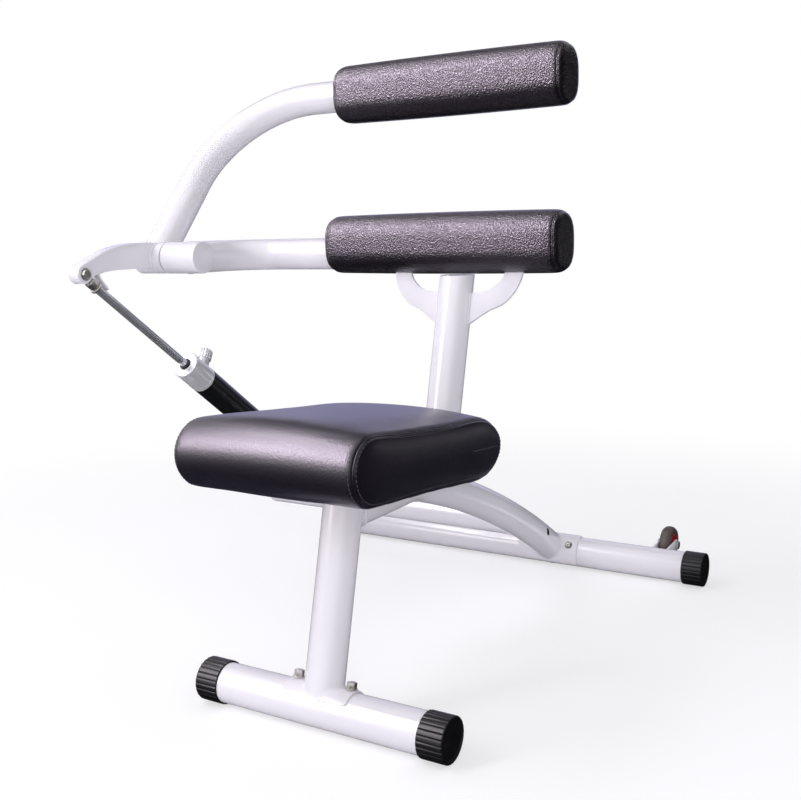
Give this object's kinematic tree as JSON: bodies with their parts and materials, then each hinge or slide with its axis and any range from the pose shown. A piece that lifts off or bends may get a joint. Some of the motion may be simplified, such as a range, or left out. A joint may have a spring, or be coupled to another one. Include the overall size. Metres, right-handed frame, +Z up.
{
  "type": "hydraulic back extension machine",
  "caption": "White tube exercise machine with a padded seat, a fixed and a swinging back pad, and a hydraulic cylinder that resists the swinging arm through a lever.",
  "frame": {"origin": "middle of the underside of the whole machine's box, on the floor", "axes": "+X to the right of someone who faces the machine from the front, +Y from the front foot to the rear stabiliser, +Z up"},
  "size_m": [0.8964, 1.0564, 0.9939],
  "materials": {
    "white_powder_coat": "gloss white powder coat",
    "black_vinyl": "grained black vinyl over foam",
    "black_plastic": "ribbed satin black",
    "zinc_steel": "zinc plated",
    "chrome": "hard chrome",
    "machined_aluminium": "machined",
    "black_paint": "satin black paint",
    "seal_rubber": "matte",
    "bronze": "plain bearing bronze",
    "plywood": "bare plywood",
    "grey_rubber": "matte dark grey",
    "red_plastic": "satin red",
    "steel": "turned steel"
  },
  "bodies": {
    "frame": {"front_tube": "white_powder_coat", "front_cap_left": "black_plastic", "front_cap_right": "black_plastic", "front_saddle": "white_powder_coat", "front_saddle_bolt_left": "zinc_steel", "front_saddle_bolt_right": "zinc_steel", "rear_tube": "white_powder_coat", "rear_cap_left": "black_plastic", "rear_cap_right": "black_plastic", "rear_saddle": "white_powder_coat", "rear_saddle_bolt_left": "zinc_steel", "rear_saddle_bolt_right": "zinc_steel", "wheel_ear_right_inner": "white_powder_coat", "wheel_ear_right_outer": "white_powder_coat", "wheel_ear_left_inner": "white_powder_coat", "wheel_ear_left_outer": "white_powder_coat", "wheel_axle_right": "zinc_steel", "wheel_axle_left": "zinc_steel", "seat_post": "white_powder_coat", "seat_cushion": "black_vinyl", "seat_board": "plywood", "seat_plate": "white_powder_coat", "arch_beam": "white_powder_coat", "cross_tube": "white_powder_coat", "cross_tube_cap": "black_plastic", "cylinder_lug_left": "white_powder_coat", "cylinder_lug_right": "white_powder_coat", "lower_pin": "zinc_steel", "lower_pin_nut": "zinc_steel", "back_post": "white_powder_coat", "pad_yoke_left": "white_powder_coat", "pad_yoke_right": "white_powder_coat", "lower_pad_tube": "white_powder_coat", "lower_pad": "black_vinyl", "pivot_boss": "white_powder_coat", "boss_end_disc": "white_powder_coat", "pivot_shaft": "steel"},
    "arm": {"pivot_hub": "white_powder_coat", "hub_bush_right": "bronze", "hub_bush_left": "bronze", "hub_end_cap": "white_powder_coat", "upper_arm_tube": "white_powder_coat", "upper_pad": "black_vinyl", "lever_channel": "white_powder_coat", "lever_pin": "zinc_steel", "lever_pin_nut": "zinc_steel"},
    "rod": {"rod_end": "zinc_steel", "piston_rod": "chrome", "piston": "steel"},
    "cylinder": {"cylinder_head": "machined_aluminium", "rod_seal": "seal_rubber", "cylinder_barrel": "black_paint", "cylinder_end_eye": "black_paint"},
    "knob": {"valve_knob": "machined_aluminium"},
    "wheel_left": {"wheel_tyre_left": "grey_rubber", "wheel_hub_left": "red_plastic"},
    "wheel_right": {"wheel_tyre_right": "grey_rubber", "wheel_hub_right": "red_plastic"}
  },
  "joints": [
    {"name": "arm_swing", "type": "hinge", "parent": "frame", "child": "arm", "pos_m": [-0.40485, -0.13425, 0.658], "axis": [-1, 0, 0], "range_deg": [-40, 0]},
    {"name": "rod_pivot", "type": "hinge", "parent": "arm", "child": "rod", "pos_m": [-0.40485, -0.31425, 0.637], "axis": [-1, 0, 0], "range_deg": [0, 35]},
    {"name": "cylinder_slide", "type": "slide", "parent": "rod", "child": "cylinder", "axis": [0, 0.7976, -0.6032], "range_m": [-0.11, 0]},
    {"name": "knob_turn", "type": "hinge", "parent": "cylinder", "child": "knob", "pos_m": [-0.40485, -0.03829, 0.42829], "axis": [-0.2079, 0.59, 0.7802], "range_deg": [-150, 150]},
    {"name": "wheel_left_spin", "type": "hinge", "parent": "frame", "child": "wheel_left", "pos_m": [-0.29555, 0.49275, 0.0527], "axis": [1, 0, 0], "continuous": true},
    {"name": "wheel_right_spin", "type": "hinge", "parent": "frame", "child": "wheel_right", "pos_m": [0.35485, 0.49275, 0.0527], "axis": [1, 0, 0], "continuous": true}
  ],
  "couplings": [
    {"joint": "rod_pivot", "follows": "arm_swing", "ratio": -0.855},
    {"joint": "cylinder_slide", "follows": "arm_swing", "m_per_rad": 0.152}
  ]
}
